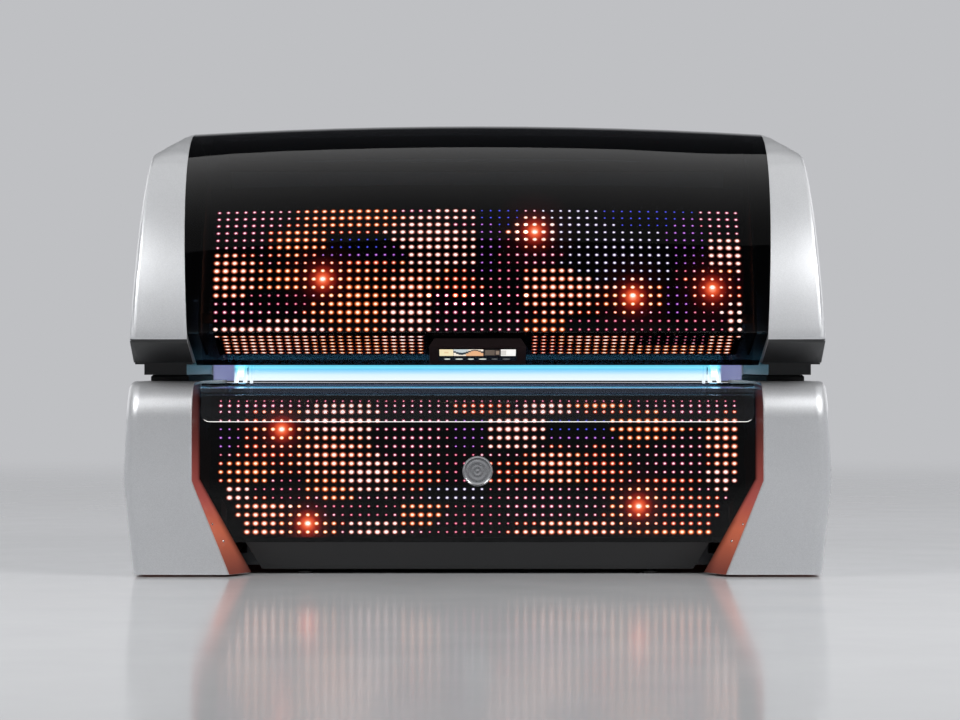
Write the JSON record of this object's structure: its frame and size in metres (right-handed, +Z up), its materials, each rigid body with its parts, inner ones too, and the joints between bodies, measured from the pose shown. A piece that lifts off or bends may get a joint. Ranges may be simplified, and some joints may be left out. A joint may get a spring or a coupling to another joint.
{
  "type": "horizontal sunbed",
  "caption": "Horizontal sunbed with a curved lying trough, a crowned canopy hinged at the back on gas springs, lamp tubes behind clear sheets and glossy fronts over boards of small lamps.",
  "frame": {"origin": "on the floor, under the middle of the bounding box", "axes": "+X along the bed to the right as seen from the front, +Y to the back, +Z up"},
  "size_m": [2.412, 1.422, 1.5932],
  "materials": {
    "silver_lacquer": "satin metallic lacquer",
    "black_gloss_acrylic": "high gloss",
    "clear_acrylic": "clear",
    "painted_steel": "satin powder coat",
    "circuit_board": "solder mask",
    "reflector_aluminium": "bright rolled",
    "lamp_glass": "phosphor coated",
    "black_rubber": "matte",
    "black_plastic": "fine grain",
    "satin_metal": "satin"
  },
  "bodies": {
    "base": {"base_cover_left": "silver_lacquer", "rest_left": "black_rubber", "foot_front_left": "black_rubber", "foot_rear_left": "black_rubber", "hinge_bracket_left": "painted_steel", "hinge_pin_left": "satin_metal", "base_cover_right": "silver_lacquer", "rest_right": "black_rubber", "foot_front_right": "black_rubber", "foot_rear_right": "black_rubber", "hinge_bracket_right": "painted_steel", "hinge_pin_right": "satin_metal", "base_frame": "painted_steel", "base_rear_panel": "painted_steel", "floor_pan": "painted_steel", "ballast_box": "painted_steel", "base_front_panel": "black_gloss_acrylic", "kick_panel": "black_gloss_acrylic", "front_shield": "clear_acrylic", "bench_acrylic": "clear_acrylic", "base_lamp_board": "circuit_board", "bench_reflector": "reflector_aluminium", "front_disc": "satin_metal", "fan_housing": "black_plastic", "mains_inlet": "black_plastic", "bench_lamp_1": "lamp_glass", "bench_lamp_2": "lamp_glass", "bench_lamp_3": "lamp_glass", "bench_lamp_4": "lamp_glass", "bench_lamp_5": "lamp_glass", "bench_lamp_6": "lamp_glass", "bench_lamp_7": "lamp_glass", "bench_lamp_8": "lamp_glass", "bench_lamp_9": "lamp_glass"},
    "canopy": {"canopy_cover_left": "silver_lacquer", "canopy_skirt_left": "black_plastic", "canopy_cover_right": "silver_lacquer", "canopy_skirt_right": "black_plastic", "canopy_frame": "painted_steel", "canopy_front_shell": "black_gloss_acrylic", "control_screen": "black_gloss_acrylic", "canopy_acrylic": "clear_acrylic", "canopy_lamp_board": "circuit_board", "canopy_reflector": "reflector_aluminium", "canopy_rear_cover": "black_plastic", "control_pod": "black_plastic", "canopy_lamp_1": "lamp_glass", "canopy_lamp_2": "lamp_glass", "canopy_lamp_3": "lamp_glass", "canopy_lamp_4": "lamp_glass", "canopy_lamp_5": "lamp_glass", "canopy_lamp_6": "lamp_glass", "canopy_lamp_7": "lamp_glass", "canopy_lamp_8": "lamp_glass", "canopy_lamp_9": "lamp_glass"},
    "fan": {"fan_rotor": "black_plastic"},
    "spring_body_left": {"gas_cylinder_left": "black_plastic"},
    "spring_rod_left": {"gas_rod_left": "satin_metal"},
    "spring_body_right": {"gas_cylinder_right": "black_plastic"},
    "spring_rod_right": {"gas_rod_right": "satin_metal"}
  },
  "joints": [
    {"name": "canopy_hinge", "type": "hinge", "parent": "base", "child": "canopy", "pos_m": [0, 0.6, 0.7], "axis": [-1, 0, 0], "range_deg": [0, 40]},
    {"name": "fan_spin", "type": "hinge", "parent": "base", "child": "fan", "pos_m": [0.4, 0.54, 0.3], "axis": [0, 1, 0], "continuous": true},
    {"name": "spring_swing_left", "type": "hinge", "parent": "base", "child": "spring_body_left", "pos_m": [-0.855, 0.46, 0.25], "axis": [-1, 0, 0], "range_deg": [0, 4.5]},
    {"name": "spring_slide_left", "type": "slide", "parent": "spring_body_left", "child": "spring_rod_left", "axis": [0, 0.0905, 0.9959], "range_m": [0, 0.0588]},
    {"name": "spring_swing_right", "type": "hinge", "parent": "base", "child": "spring_body_right", "pos_m": [0.855, 0.46, 0.25], "axis": [-1, 0, 0], "range_deg": [0, 4.5]},
    {"name": "spring_slide_right", "type": "slide", "parent": "spring_body_right", "child": "spring_rod_right", "axis": [0, 0.0905, 0.9959], "range_m": [0, 0.0588]}
  ],
  "couplings": [
    {"joint": "spring_swing_left", "follows": "canopy_hinge", "ratio": 0.112},
    {"joint": "spring_slide_left", "follows": "canopy_hinge", "m_per_rad": 0.084},
    {"joint": "spring_swing_right", "follows": "canopy_hinge", "ratio": 0.112},
    {"joint": "spring_slide_right", "follows": "canopy_hinge", "m_per_rad": 0.084}
  ]
}
